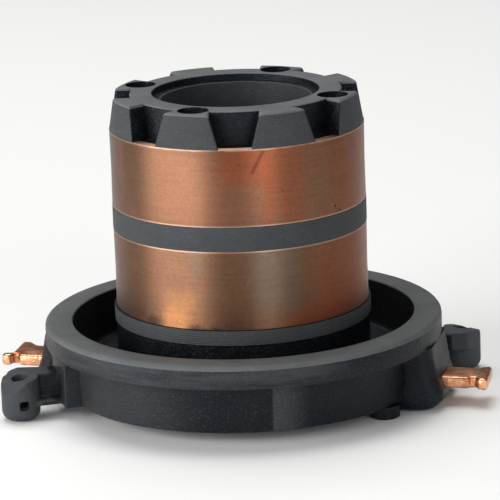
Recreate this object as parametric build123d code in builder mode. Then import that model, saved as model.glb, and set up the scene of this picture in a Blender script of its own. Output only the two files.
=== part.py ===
"""Slip ring unit for a small rotor: two copper rings moulded onto one insulating hub.

The origin is on the bore's axis, in the plane that the unit stands on. Z runs up the bore and
X runs along the two terminals. Sizes are in millimetres and angles in degrees.
"""

import os

from build123d import *

os.makedirs("parts", exist_ok=True)

# Hub
bore_r = 9.65
bore_edge_break = 0.5
bore_mouth_step = 1.2
bore_mouth_depth = 0.95
hub_wall = 6.85
hub_proud = 0.1
land_proud = 0.06
band_height = 3.1
collar_proud = 0.28
collar_height = 2.0
seat_inset = 2.5

# Copper rings
ring_wall = 2.0
lower_ring_height = 10.25
upper_ring_height = 10.0
ring_anchor = 0.8

# Crown of teeth above the upper ring
crown_height = 4.35
crown_taper = 0.5
tooth_count = 8
crown_turn = 35.8
notch_inset = 2.8
notch_top_width = 6.4
notch_foot_width = 4.2
pin_hole_count = 4
pin_hole_r = 2.0
pin_inset = 3.0

# Dish flange around the hub's foot
foot_height = 1.6
floor_thickness = 3.5
trench_width = 5.1
trench_depth = 6.0
trench_draft = 0.73
rim_width = 3.57
rim_thickness = 3.1
rim_edge_break = 0.3
wall_thickness = 1.07
wall_draft = 0.2

# Terminal blocks, the rests that carry the terminals, and round feet under the flange
block_half_width = 6.3
block_depth = 8.0
block_lift = 0.3
block_proud = 0.3
block_slant = 1.0
block_slant_height = 1.8
rest_half_width = 4.9
rest_reach = 1.35
rest_slant = 1.1
rest_slant_height = 1.0
foot_r = 2.0
foot_inset = 1.4
foot_angle = -21.7

# Lead strips: one bent strip from each ring to its terminal
strip_thickness = 1.5
strip_width = 5.0
strip_under = 2.35
lower_strip_lift = 0.9
strip_bend_r = 1.5
strip_bite = 0.15
pad_length = 5.0
pad_jog = 1.6
tip_reach = 6.9

# Tip of the upper ring's lead, measured back from its end: a skewed head, a waist and a bar
head_length = 1.2
head_skew = 1.1
head_flare = 0.7
head_corner_r = 0.5
waist_slope = 0.3
waist_length = 1.4
waist_step = 0.35
waist_inset = 0.5

# Tip of the lower ring's lead, measured back from its end: a knob, a notch, an ear and a bar
knob_length = 1.3
knob_far_side = 1.5
knob_near_flare = 0.1
knob_corner_r = 0.35
notch_end = 1.9
notch_start = 2.7
notch_depth = 1.0
ear_end = 0.9
ear_shoulder = 2.1
ear_start = 3.5
ear_height = 1.6

# Guide lugs for the winding's lead wires
lug_angle = 30.0
lug_reach = 4.3
lug_hole_r = 1.1
lug_height = 5.85
lug_boss_r = 2.5
lug_boss_slope = 1.3
lug_boss_slope_height = 1.8
lug_boss_foot_break = 0.9
lug_root_depth = 0.8
lug_root_half_width = 3.4
arm_lift = 0.3
arm_web = 1.3
arm_web_side = 0.1
arm_sill = 0.7
arm_sill_side = 1.9
wing_thickness = 2.4
wing_root_side = 2.5
wing_shoulder_inset = 0.5
wing_shoulder_side = 3.9
wing_tip_reach = 1.2
wing_tip_side = 2.7
window_width = 1.3
window_height = 1.2
window_sill = 1.7

# Radii worked out from the sizes above, from the bore outwards
bore_mouth_r = bore_r + bore_mouth_step
ring_outer_r = bore_r + hub_wall
ring_inner_r = ring_outer_r - ring_wall
land_r = ring_outer_r + land_proud
collar_r = ring_outer_r + collar_proud
hub_r = ring_outer_r + hub_proud
seat_r = ring_outer_r - seat_inset
notch_inner_r = ring_outer_r - notch_inset
pin_circle_r = ring_outer_r - pin_inset
pad_r = ring_inner_r + strip_bite - strip_thickness / 2
strip_leg_r = pad_r - pad_jog
trench_foot_r = hub_r + trench_width
rim_inner_r = trench_foot_r + trench_draft
rim_outer_r = rim_inner_r + rim_width
wall_top_r = rim_inner_r + wall_thickness
wall_foot_r = wall_top_r - wall_draft
wall_middle_r = (rim_inner_r + wall_foot_r) / 2
block_inner_r = rim_outer_r - block_depth
foot_circle_r = wall_foot_r - foot_inset
lug_root_r = rim_outer_r - lug_root_depth
lug_hole_circle_r = rim_outer_r + lug_reach
tip_r = rim_outer_r + tip_reach
head_r = tip_r - head_length
waist_end_r = head_r - waist_slope
waist_start_r = waist_end_r - waist_length

# Heights worked out from the sizes above, from the seat upwards
floor_top = foot_height + floor_thickness
floor_middle = foot_height + floor_thickness / 2
rim_top = floor_top + trench_depth
rim_under = rim_top - rim_thickness
lower_ring_base = rim_top + collar_height
band_base = lower_ring_base + lower_ring_height
upper_ring_base = band_base + band_height
crown_base = upper_ring_base + upper_ring_height
crown_top = crown_base + crown_height
bore_mouth_base = crown_top - bore_mouth_depth
lower_strip_under = strip_under + lower_strip_lift
arm_base = foot_height + arm_lift
strip_half = strip_width / 2
tooth_pitch = 360 / tooth_count

# Turned forms are drawn in a half section that lies clear of the leads, with its X outwards
half_section = Plane.YZ

# Side views of the two leads, and the undersides of their tips, each with its own X outwards
right_side = Plane.XZ
left_side = Plane(origin=(0, 0, 0), x_dir=(-1, 0, 0), z_dir=(0, 1, 0))
right_tip_plane = Plane.XY.offset(strip_under)
left_tip_plane = Plane(origin=(0, 0, lower_strip_under), x_dir=(-1, 0, 0), z_dir=(0, 0, 1))


def ring_section(base, height):
    """Half section of a ring, with the inner chamfers that the moulding grips."""
    with BuildSketch(half_section) as section:
        with Locations((ring_inner_r, base)):
            Rectangle(ring_wall, height, align=(Align.MIN, Align.MIN))
        chamfer(section.vertices().group_by(Axis.X)[0], ring_anchor)
    return section.sketch


def bent_strip(side, ring_middle, under):
    """Lead strip: pad behind its ring, jog inwards, leg down the hub, foot out to the rim."""
    pad_foot = ring_middle - pad_length / 2
    foot_middle = under + strip_thickness / 2
    with BuildPart() as strip:
        with BuildLine(side) as route:
            FilletPolyline(
                (pad_r, pad_foot + pad_length),
                (pad_r, pad_foot),
                (strip_leg_r, pad_foot - pad_jog),
                (strip_leg_r, foot_middle),
                (rim_outer_r, foot_middle),
                radius=strip_bend_r,
            )
        with BuildSketch(Plane(route.line @ 0, x_dir=side.x_dir, z_dir=route.line % 0)):
            Rectangle(strip_thickness, strip_width)
        sweep()
    return strip.part


# Lower ring
with BuildPart() as lower_ring:
    add(ring_section(lower_ring_base, lower_ring_height))
    revolve(axis=Axis.Z)
lower_ring.part.label = "lower_ring"

# Upper ring
with BuildPart() as upper_ring:
    add(ring_section(upper_ring_base, upper_ring_height))
    revolve(axis=Axis.Z)
upper_ring.part.label = "upper_ring"

# Upper ring's lead: its tip is a bar, a waist and a head whose end is skewed
with BuildPart() as upper_ring_lead:
    add(bent_strip(right_side, upper_ring_base + upper_ring_height / 2, strip_under))
    with BuildSketch(right_tip_plane) as right_tip:
        with BuildLine():
            Polyline(
                (block_inner_r, -strip_half),
                (waist_start_r, -strip_half),
                (waist_start_r + waist_step, waist_inset - strip_half),
                (waist_end_r, waist_inset - strip_half),
                (head_r, -strip_half - head_flare),
                (tip_r, -strip_half - head_flare),
                (tip_r - head_skew, strip_half + head_flare),
                (head_r - head_skew, strip_half + head_flare),
                (waist_end_r - head_skew, strip_half - waist_inset),
                (waist_start_r - head_skew + waist_step, strip_half - waist_inset),
                (waist_start_r - head_skew, strip_half),
                (block_inner_r, strip_half),
                close=True,
            )
        make_face()
        fillet(right_tip.vertices().sort_by(Axis.X)[-2:], head_corner_r)
    extrude(amount=strip_thickness)
    add(upper_ring.part, mode=Mode.SUBTRACT)
upper_ring_lead.part.label = "upper_ring_lead"

# Lower ring's lead: its tip has an ear on the far side, a notch on the near side and a knob
with BuildPart() as lower_ring_lead:
    add(bent_strip(left_side, lower_ring_base + lower_ring_height / 2, lower_strip_under))
    with BuildSketch(left_tip_plane) as left_tip:
        with BuildLine():
            Polyline(
                (block_inner_r, -strip_half),
                (tip_r - ear_start, -strip_half),
                (tip_r - ear_shoulder, -strip_half - ear_height),
                (tip_r - ear_end, -strip_half - ear_height),
                (tip_r - knob_length, knob_far_side),
                (tip_r, knob_far_side),
                (tip_r, strip_half + knob_near_flare),
                (tip_r - notch_end, strip_half + knob_near_flare),
                (tip_r - notch_end, strip_half - notch_depth),
                (tip_r - notch_start, strip_half - notch_depth),
                (tip_r - notch_start, strip_half),
                (block_inner_r, strip_half),
                close=True,
            )
        make_face()
        fillet(left_tip.vertices().group_by(Axis.X)[0], knob_corner_r)
    extrude(amount=strip_thickness)
    add(lower_ring.part, mode=Mode.SUBTRACT)
lower_ring_lead.part.label = "lower_ring_lead"

# Notch between two teeth: wider at the top, square to the radius, stopping at the inner wall
with BuildPart() as notch:
    with BuildSketch(Plane.YZ):
        with BuildLine():
            Polyline(
                (-notch_foot_width / 2, crown_base),
                (notch_foot_width / 2, crown_base),
                (notch_top_width / 2, crown_top),
                (-notch_top_width / 2, crown_top),
                close=True,
            )
        make_face()
    extrude(amount=rim_outer_r)
    with BuildSketch(Plane.XY.offset(crown_base)):
        Circle(notch_inner_r)
    extrude(amount=crown_height, mode=Mode.SUBTRACT)

# Foot: a round stud under the floor, rooted in it
with BuildPart() as foot:
    with BuildSketch():
        with Locations((foot_circle_r, 0)):
            Circle(foot_r)
    extrude(amount=floor_middle)

# Terminal blocks: slanted at the foot, drafted above it, both cut from one turned form
with BuildPart() as blocks:
    with BuildSketch(half_section):
        with BuildLine():
            Polyline(
                (block_inner_r, block_lift),
                (rim_outer_r + block_proud - block_slant, block_lift),
                (rim_outer_r + block_proud, block_lift + block_slant_height),
                (rim_outer_r, rim_under),
                (wall_middle_r, rim_under),
                (wall_middle_r, floor_middle),
                (block_inner_r, floor_middle),
                close=True,
            )
        make_face()
    revolve(axis=Axis.Z)
    with BuildSketch():
        Rectangle(2 * lug_hole_circle_r, 2 * block_half_width)
    extrude(amount=rim_top, mode=Mode.INTERSECT)
    # Rests that stand out under the terminals
    for side, under in ((right_side, strip_under), (left_side, lower_strip_under)):
        with BuildSketch(side):
            with BuildLine():
                Polyline(
                    (wall_middle_r, block_lift),
                    (rim_outer_r + rest_reach - rest_slant, block_lift),
                    (rim_outer_r + rest_reach, block_lift + rest_slant_height),
                    (rim_outer_r + rest_reach, under),
                    (wall_middle_r, under),
                    close=True,
                )
            make_face()
        extrude(amount=rest_half_width, both=True)

# Guide lug, drawn along X: wing, web, sill, root block, and boss with its guide hole
with BuildPart() as lug:
    # Wing: a plate from the flange's wall past the boss, on the terminal's side of the arm
    with BuildSketch(Plane.XY.offset(lug_height)):
        with BuildLine():
            Polyline(
                (wall_middle_r, arm_web_side),
                (wall_middle_r, -wing_root_side),
                (lug_root_r, -wing_root_side),
                (lug_hole_circle_r - wing_shoulder_inset, -wing_shoulder_side),
                (lug_hole_circle_r + wing_tip_reach, -wing_tip_side),
                (lug_hole_circle_r + wing_tip_reach, arm_web_side),
                close=True,
            )
        make_face()
    extrude(amount=-wing_thickness)
    # Web and sill under the wing
    with BuildSketch(Plane.XY.offset(arm_base)):
        with Locations((wall_middle_r, arm_web_side)):
            Rectangle(lug_hole_circle_r - wall_middle_r, arm_web, align=(Align.MIN, Align.MAX))
    extrude(amount=lug_height - wing_thickness - arm_base)
    with BuildSketch(Plane.XY.offset(arm_base)):
        with Locations((wall_middle_r, arm_sill_side)):
            Rectangle(
                lug_hole_circle_r - wall_middle_r,
                arm_sill_side - arm_web_side + arm_web,
                align=(Align.MIN, Align.MAX),
            )
    extrude(amount=arm_sill)
    # Root block against the flange's wall
    with BuildSketch(Plane.XY.offset(foot_height)):
        with Locations((wall_middle_r, 0)):
            Rectangle(
                lug_root_r - wall_middle_r,
                2 * lug_root_half_width,
                align=(Align.MIN, Align.CENTER),
            )
    extrude(amount=rim_under - foot_height)
    # Boss
    with BuildPart(mode=Mode.PRIVATE) as boss:
        with BuildSketch():
            with Locations((lug_hole_circle_r, 0)):
                Circle(lug_boss_r)
        extrude(amount=lug_height)
        rim_edge = boss.edges().group_by(Axis.Z)[-1]
        top = boss.faces().sort_by(Axis.Z)[-1]
        chamfer(rim_edge, lug_boss_slope, lug_boss_slope_height, reference=top)
        chamfer(boss.edges().group_by(Axis.Z)[0], lug_boss_foot_break)
    add(boss.part)
    # Guide hole and the window that opens into it
    with Locations((lug_hole_circle_r, 0, lug_height)):
        Hole(lug_hole_r, depth=lug_height)
    with BuildSketch(Plane.XZ):
        with Locations((lug_hole_circle_r, window_sill)):
            Rectangle(window_width, window_height, align=(Align.CENTER, Align.MIN))
    extrude(amount=-2 * lug_boss_r, mode=Mode.SUBTRACT)

# Moulded body
with BuildPart() as moulded_body:
    # Turned form: seat, dish flange, hub, collar, band, blank of the crown and bore
    with BuildSketch(half_section):
        with BuildLine():
            Polyline(
                (bore_r + bore_edge_break, 0),
                (seat_r, 0),
                (seat_r, foot_height),
                (wall_foot_r, foot_height),
                (wall_top_r, rim_under),
                (rim_outer_r, rim_under),
                (rim_outer_r, rim_top - rim_edge_break),
                (rim_outer_r - rim_edge_break, rim_top),
                (rim_inner_r, rim_top),
                (trench_foot_r, floor_top),
                (hub_r, floor_top),
                (hub_r, rim_top),
                (collar_r, rim_top),
                (collar_r, lower_ring_base),
                (land_r, lower_ring_base),
                (land_r, crown_base),
                (land_r - crown_taper, crown_top),
                (bore_mouth_r, crown_top),
                (bore_mouth_r, bore_mouth_base),
                (bore_r, bore_mouth_base),
                (bore_r, bore_edge_break),
                close=True,
            )
        make_face()
    revolve(axis=Axis.Z)
    # Crown: notches between the teeth, and the holes left by the pins that held the ring
    with PolarLocations(0, tooth_count, start_angle=crown_turn + tooth_pitch / 2):
        add(notch.part, mode=Mode.SUBTRACT)
    with Locations((0, 0, crown_top)):
        with PolarLocations(pin_circle_r, pin_hole_count, start_angle=crown_turn - tooth_pitch):
            Hole(pin_hole_r, depth=crown_height)
    # Terminal blocks and feet
    add(blocks.part)
    with PolarLocations(0, 2, start_angle=foot_angle):
        add(foot.part)
    # Guide lugs
    with PolarLocations(0, 2, start_angle=lug_angle):
        add(lug.part)
    # Room for the pieces that the moulding grips
    gripped = (lower_ring, upper_ring, lower_ring_lead, upper_ring_lead)
    add([piece.part for piece in gripped], mode=Mode.SUBTRACT)
moulded_body.part.label = "moulded_body"

export_step(moulded_body.part, "parts/moulded_body.step")
export_step(upper_ring.part, "parts/upper_ring.step")
export_step(lower_ring.part, "parts/lower_ring.step")
export_step(upper_ring_lead.part, "parts/upper_ring_lead.step")
export_step(lower_ring_lead.part, "parts/lower_ring_lead.step")
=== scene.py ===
"""Slip ring unit of an alternator rotor: finished surfaces and materials over the solid model.

Lengths inside the shape functions are in millimetres; to_mesh turns them to metres. Z runs up the
bore, X runs along the two terminals, and angles are in degrees in every setting.
"""

import math

import bmesh
import bpy
import numpy as np
from mathutils import Matrix, Vector


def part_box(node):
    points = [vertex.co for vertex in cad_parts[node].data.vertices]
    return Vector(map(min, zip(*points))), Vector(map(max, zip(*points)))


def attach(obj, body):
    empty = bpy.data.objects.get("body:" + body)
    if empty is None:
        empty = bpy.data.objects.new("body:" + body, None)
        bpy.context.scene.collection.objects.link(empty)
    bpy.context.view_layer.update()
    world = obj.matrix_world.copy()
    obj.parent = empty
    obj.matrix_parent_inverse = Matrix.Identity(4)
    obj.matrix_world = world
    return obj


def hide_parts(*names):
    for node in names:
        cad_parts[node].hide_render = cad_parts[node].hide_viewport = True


bl_info = {
    "name": "Slip ring unit",
    "version": (1, 0, 0),
    "blender": (4, 5, 0),
    "location": "View3D > Sidebar > Slip ring",
    "description": "Builds the dressed slip ring unit: moulding, rings, leads and studio",
    "category": "Object",
}

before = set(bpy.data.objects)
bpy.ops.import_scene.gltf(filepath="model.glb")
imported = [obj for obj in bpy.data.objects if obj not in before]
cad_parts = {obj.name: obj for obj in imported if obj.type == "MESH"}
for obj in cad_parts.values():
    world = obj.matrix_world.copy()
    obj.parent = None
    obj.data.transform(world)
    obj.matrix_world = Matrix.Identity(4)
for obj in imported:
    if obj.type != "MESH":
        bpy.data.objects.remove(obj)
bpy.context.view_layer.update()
MM = 1000.0  # millimetres to the metre
FAR = 10.0  # past every limit in a material
ARC = 5  # points on a rounded corner
ROOT = "root"


def mm_box(name):
    """Lowest and highest corner of a node of the solid model, in millimetres."""
    return [[value * MM for value in corner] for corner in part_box(name)]


# Heights of the rings, radii of rings and rim, and the terminals' reach, from the solid model
(_, _, UPPER_LOW), (RING_R, _, UPPER_HIGH) = mm_box("upper_ring")
(_, _, LOWER_LOW), (_, _, LOWER_HIGH) = mm_box("lower_ring")
_, (_, RIM_R, CROWN_TOP) = mm_box("moulded_body")
UPPER_TIP_R = mm_box("upper_ring_lead")[1][0]
LOWER_TIP_R = -mm_box("lower_ring_lead")[0][0]
LAMPS = (  # name, degrees right of the camera, rise, distance in mm, width and height in metres
    ("key", -60, 17, 600, 0.66, 0.34),
    ("strip", 23, 18, 600, 0.22, 0.40),
    ("fill", 62, 20, 650, 0.50, 0.42),
    ("top", -165, 72, 780, 0.60, 0.60),
)


# Settings


def size(label, text, default, low=0.0, high=100.0):
    """A length in millimetres that the user can change."""
    return bpy.props.FloatProperty(
        name=label, description=text, default=default, min=low, max=high, precision=3
    )


def turn(label, text, default):
    """An angle in degrees that the user can change."""
    return bpy.props.FloatProperty(
        name=label, description=text, default=default, min=-360.0, max=360.0
    )


def count(label, text, default):
    """A whole number of like features."""
    return bpy.props.IntProperty(name=label, description=text, default=default, min=1, max=64)


def linear(code):
    """Linear colour of an sRGB hex code: c/12.92 below 0.04045, else ((c+0.055)/1.055)^2.4."""
    values = np.array([int(code[i : i + 2], 16) for i in (1, 3, 5)]) / 255.0
    high = ((values + 0.055) / 1.055) ** 2.4
    return tuple(float(v) for v in np.where(values <= 0.04045, values / 12.92, high))


def power(label, text, default):
    """Strength of a light that the user can change."""
    return bpy.props.FloatProperty(name=label, description=text, default=default, min=0.0)


def tint(label, text, code):
    """A colour that the user can change, given as an sRGB hex code."""
    return bpy.props.FloatVectorProperty(
        name=label, description=text, default=linear(code), subtype="COLOR", size=3, min=0, max=1
    )


class SlipringMoulding(bpy.types.PropertyGroup):
    """Sizes and colours of the black moulding."""

    bore_r: size("Bore radius", "Radius of the shaft bore", 9.65)
    mouth_r: size("Mouth radius", "Radius of the shallow recess round the bore's mouth", 10.85)
    mouth_depth: size("Mouth depth", "Depth of that recess", 0.95)
    land: size("Land", "How far the moulding stands proud of the rings", 0.03)
    collar_r: size("Collar radius", "Radius of the collar under the lower ring", 16.78)
    hub_r: size("Hub radius", "Radius of the hub inside the trench", 16.6)
    seat_r: size("Seat radius", "Radius of the end face under the hub", 14.0)
    floor_under: size("Floor underside", "Height of the flange's underside", 1.6)
    floor_top: size("Floor top", "Height of the trench's floor", 5.1)
    rim_top: size("Rim top", "Height of the flange's rim", 11.1)
    rim_thickness: size("Rim thickness", "Thickness of the rim's lip", 3.1)
    rim_inner_r: size("Rim inner radius", "Radius of the trench's outer wall at the top", 22.43)
    trench_foot_r: size("Trench foot radius", "Radius of that wall at the floor", 21.7)
    wall_top_r: size("Wall top radius", "Outer radius of the wall under the lip", 23.5)
    wall_foot_r: size("Wall foot radius", "Outer radius of the wall at its foot", 23.3)
    taper: size("Crown taper", "How far the teeth lean in from foot to top", 0.5)
    teeth: count("Teeth", "Number of teeth round the crown", 8)
    crown_turn: turn("Crown turn", "Direction of the middle of one tooth", 35.8)
    notch_inner_r: size("Notch inner radius", "Radius of the wall behind the notches", 13.7)
    notch_top: size("Notch top width", "Width of a notch at the top", 6.4)
    notch_foot: size("Notch foot width", "Width of a notch at its floor", 4.2)
    tooth_round: size("Tooth round", "Radius of the edges of a tooth's sides", 0.22)
    pin_holes: count("Pin holes", "Number of pin holes in the crown", 4)
    pin_hole_r: size("Pin hole radius", "Radius of a pin hole", 2.0)
    pin_circle_r: size("Pin circle radius", "Radius of the circle of the pin holes", 13.5)
    block_half: size("Block half width", "Half the width of a terminal block", 6.3)
    block_inner_r: size("Block inner radius", "Where a terminal block starts under the floor", 18.0)
    block_corner_r: size("Block corner radius", "Radius of a block's outer corners", 2.2)
    block_round: size("Block round", "Radius of a block's lower edge", 0.45)
    block_sunk: size("Block sunk", "How far inside the rim's inner radius a block ends", 0.15)
    block_lift: size("Block lift", "Height of a block's underside", 0.3)
    block_proud: size("Block proud", "How far a block stands out of the rim", 0.3)
    rest_reach: size("Rest reach", "How far the rest stands out of the rim", 1.35)
    rest_slant: size("Rest slant", "Size of the slant under the rest", 1.1)
    rest_draft: size("Rest draft", "Height above the rest over which the block falls back", 2.0)
    foot_r: size("Foot radius", "Radius of a round foot", 2.0)
    foot_circle_r: size("Foot circle radius", "Distance of a foot from the axis", 21.9)
    foot_angle: turn("Foot angle", "Direction of one foot", -21.7)
    black: tint("Black", "Body colour of the moulding", "#0d0f12")
    # Rubbed grey is also painted on the rim's lit side, the lugs and the outer wall, where it
    # stands for light
    rubbed: tint("Rubbed", "Colour of the lands that were turned", "#47494a")
    faced: tint("Faced", "Colour of the tops that were faced off", "#686a6a")
    dust: tint("Dust", "Colour of the pale dust in its pores", "#8b8a86")


class SlipringLug(bpy.types.PropertyGroup):
    """Sizes of a guide lug, drawn along X before it is turned into place."""

    angle: turn("Lug angle", "Direction of one lug", 30.0)
    root_r: size("Root radius", "How far out the root block reaches", 25.2)
    root_half: size("Root half width", "Half the width of the root block", 3.4)
    hole_circle_r: size("Hole circle radius", "Distance of the guide hole from the axis", 30.3)
    hole_r: size("Hole radius", "Radius of the guide hole", 1.1)
    height: size("Height", "Height of the boss", 5.85)
    boss_r: size("Boss radius", "Radius of the boss", 2.5)
    slope: size("Slope", "How far the boss's top falls for each millimetre outwards", 1.1)
    easing: size("Easing", "The same for the gentler fall through the hole", 0.18)
    slope_turn: turn("Slope turn", "Direction that the slope faces, from the lug's own", 30.0)
    slope_start: size("Slope start", "How far outside the hole's middle the steep part starts", 1.0)
    easing_start: size("Easing start", "How far inside the hole's middle the easing starts", 1.5)
    foot_round: size("Boss round", "Radius at the boss's foot", 1.3)
    base: size("Arm base", "Height of the arm's underside", 1.9)
    web: size("Arm web", "Thickness of the arm's upright wall", 1.3)
    web_side: size("Web side", "How far that wall reaches past the middle", 0.1)
    sill: size("Sill", "Thickness of the sill under the pocket", 0.7)
    sill_side: size("Sill side", "How far the sill reaches past the middle", 1.9)
    wing: size("Wing thickness", "Thickness of the wing plate", 2.4)
    wing_root: size("Wing root", "How far the wing's root lies to the side", 2.5)
    shoulder_inset: size("Shoulder inset", "How far the wing's shoulder lies inside the hole", 0.5)
    shoulder_side: size("Shoulder side", "How far the wing's shoulder lies to the side", 3.9)
    tip_reach: size("Wing tip reach", "How far the wing's tip lies outside the hole", 1.2)
    tip_side: size("Wing tip side", "How far the wing's tip lies to the side", 2.7)
    window_width: size("Window width", "Width of the window in the boss", 1.3)
    window_height: size("Window height", "Height of that window", 1.2)
    window_sill: size("Window sill", "Height at which that window starts", 1.7)
    grain: size("Mesh grain", "Size of the mesh cells that fuse the lug", 0.075, 0.02, 1.0)


class SlipringRings(bpy.types.PropertyGroup):
    """Sizes and colours of the copper rings."""

    wall: size("Ring wall", "Thickness of a ring", 2.0)
    anchor: size("Anchor", "Size of the chamfers that the moulding grips", 0.8)
    edge: size("Broken edge", "Size of the broken outer edges", 0.04)
    gap: size("Gap", "Space between a ring's flank and its groove", 0.004)
    wear: size("Wear", "How deep the brushes have worn the middle of a track", 0.05)
    tool_pitch: size("Tool pitch", "Distance between the turning tool's lines", 0.36)
    # Salmon is also painted in patches as highlight where the key light falls on the tracks
    salmon: tint("Film copper", "Copper under the brushes' thin film", "#a9775d")
    # Brown is also painted as shade where the lower track faces the camera
    brown: tint("Brown film", "The brushes' film over most of the track", "#8d6851")
    olive: tint("Olive film", "The thick film on the quiet side", "#7f7061")
    red: tint("Red copper", "Oxide near the crown and the collar", "#b26547")
    dark: tint("Dark oxide", "Stains and debris at the track's edge", "#3c2a24")
    burnish: tint("Burnished copper", "The spot rubbed bright at the lower track's foot", "#cf9060")
    burr: tint("Burr", "Fresh copper along the turned edges", "#d3b09b")


class SlipringLeads(bpy.types.PropertyGroup):
    """Sizes and colours of the two lead strips."""

    thickness: size("Strip thickness", "Thickness of the strip", 1.5)
    width: size("Strip width", "Width of the strip", 5.0)
    under: size("Strip underside", "Height of the upper lead's terminal", 2.35)
    lift: size("Lower lift", "How much higher the lower lead's terminal lies", 0.9)
    jog: size("Jog", "How far the leg lies inside the pad", 1.6)
    bend_r: size("Bend radius", "Radius of the strip's bends", 1.5)
    bite: size("Bite", "How far the pad is let into the ring's bore", 0.15)
    pad: size("Pad length", "Length of the pad behind the ring", 5.0)
    rounding: size("Edge rounding", "Radius of the strip's worn edges", 0.22)
    tip_rounding: size("Tip rounding", "Radius of the terminal's tumbled edges", 0.36)
    head_skew: size("Head skew", "How much shorter the upper lead's head is on its far side", 0.35)
    bright: tint("Bright copper", "Clean strip", "#f0b48c")
    tarnish: tint("Tarnish", "Where the strip has darkened", "#a4633f")


class SlipringStage(bpy.types.PropertyGroup):
    """The studio and the camera."""

    azimuth: turn("Camera azimuth", "Direction that the camera stands in", 14.3)
    elevation: turn("Camera elevation", "Height of the camera above the horizon", 14.29)
    roll: turn("Camera roll", "Turn of the picture", 2.03)
    distance: size("Camera distance", "Distance from the aim point", 428.07, 1.0, 5000.0)
    aim_height: size("Aim height", "Height of the point that the camera was set up on", 19.78)
    aside: size("Camera aside", "How far the camera lies to the right of that point", 1.18, -50)
    below: size("Camera below", "How far the camera lies under that point", 0.3765, -50)
    lens: size("Lens", "Focal length for a 36 mm frame", 235.94, 1.0, 2000.0)
    paper: tint("Paper", "Colour of the floor", "#f6f6f5")
    key: power("Key", "Power of the tall softbox at the left, in watts", 4.1)
    strip: power("Strip", "Power of the narrow softbox right of the camera, in watts", 0.9)
    fill: power("Fill", "Power of the wide softbox at the right, in watts", 0.15)
    top: power("Top", "Power of the softbox above, in watts", 4.7)
    sky: power("Sky", "Strength of the world", 0.11)


# Shapes


def rounded(corners, steps=ARC):
    """Closed outline whose corners, each (x, y, radius), are arcs.

    At each corner P with half angle h between its two sides, the arc of radius r starts r/tan(h)
    along each side, and its centre lies r/sin(h) along the bisector. Points on it turn evenly from
    one side to the other. A radius of zero leaves all the arc's points on the corner.
    """
    corners = np.asarray(corners, float)
    p, r = corners[:, :2], corners[:, 2:]
    back = np.roll(p, 1, 0) - p
    ahead = np.roll(p, -1, 0) - p
    back /= np.linalg.norm(back, axis=1, keepdims=True)
    ahead /= np.linalg.norm(ahead, axis=1, keepdims=True)
    cosine = np.clip(np.sum(back * ahead, 1, keepdims=True), -0.9999, 0.9999)
    half = 0.5 * np.arccos(cosine)
    start = p + back * r / np.tan(half)
    end = p + ahead * r / np.tan(half)
    bisector = back + ahead
    bisector /= np.maximum(np.linalg.norm(bisector, axis=1, keepdims=True), 1e-9)
    centre = p + bisector * r / np.sin(half)
    swing = (np.pi - 2 * half)[:, None, :]
    t = np.linspace(0, 1, steps)[None, :, None]
    from_start = np.sin((1 - t) * swing) / np.sin(swing)
    from_end = np.sin(t * swing) / np.sin(swing)
    arc = from_start * (start - centre)[:, None, :] + from_end * (end - centre)[:, None, :]
    return (centre[:, None, :] + arc).reshape(-1, 2)


def normals(ahead):
    """Unit vectors a quarter turn anticlockwise from the given tangents."""
    normal = np.stack([-ahead[:, 1], ahead[:, 0]], 1)
    return normal / np.maximum(np.linalg.norm(normal, axis=1, keepdims=True), 1e-9)


def inset(outline, depth):
    """Closed outline moved inwards by depth along each point's normal, for which the tangent runs
    between the points three before and three after; the outline runs anticlockwise."""
    return outline + normals(np.roll(outline, -3, 0) - np.roll(outline, 3, 0)) * depth


def quarter(radius, steps=ARC):
    """Quarter circle of an edge: distances from the face r(1-sin a) and insets r(1-cos a), while a
    falls from a quarter turn to zero."""
    a = np.linspace(np.pi / 2, 0, steps)
    return radius * (1 - np.sin(a)), radius * (1 - np.cos(a))


def grid_faces(rows, columns, wrap_rows, wrap_columns):
    """Quads of a rows by columns grid of points, numbered row by row, closed round where asked."""
    i = np.arange(rows if wrap_rows else rows - 1)
    j = np.arange(columns if wrap_columns else columns - 1)
    a, b = np.meshgrid(i, j, indexing="ij")
    a2, b2 = (a + 1) % rows, (b + 1) % columns
    quads = [a * columns + b, a * columns + b2, a2 * columns + b2, a2 * columns + b]
    return np.stack(quads, -1).reshape(-1, 4)


def tube(grid):
    """Points and faces of a ring of closed outlines: grid[k, n] is point n of outline k."""
    k, n, _ = grid.shape
    return grid.reshape(-1, 3), grid_faces(k, n, True, True).tolist()


def capped(grid):
    """Points and faces of a row of closed outlines with a flat cap over the first and the last."""
    k, n, _ = grid.shape
    faces = grid_faces(k, n, False, True).tolist()
    first = list(range(n))
    last = list(range((k - 1) * n, k * n))
    return grid.reshape(-1, 3), faces + [first[::-1], last]


def slab(outline, low, high, rounding):
    """Flat plate: the outline at each height from low to high, inset near both faces so that its
    edges are quarter circles."""
    rise, depth = quarter(rounding)
    heights = np.concatenate([low + rise, (high - rise)[::-1]])
    depths = np.concatenate([depth, depth[::-1]])
    rings = [np.column_stack([inset(outline, d), np.full(len(outline), h)])
             for h, d in zip(heights, depths)]
    return np.stack(rings)


def turned(outline, columns=256):
    """Surface of revolution of a closed outline of (radius, height) points about Z."""
    angle = np.linspace(0, 2 * np.pi, columns, endpoint=False)[:, None]
    radius, height = outline[None, :, 0], outline[None, :, 1]
    x, y = radius * np.cos(angle), radius * np.sin(angle)
    return np.stack([x, y, np.broadcast_to(height, x.shape)], -1)


def spun(points, degrees):
    """Points turned about Z."""
    c, s = math.cos(math.radians(degrees)), math.sin(math.radians(degrees))
    return points @ np.array([[c, s, 0], [-s, c, 0], [0, 0, 1]])


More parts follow.
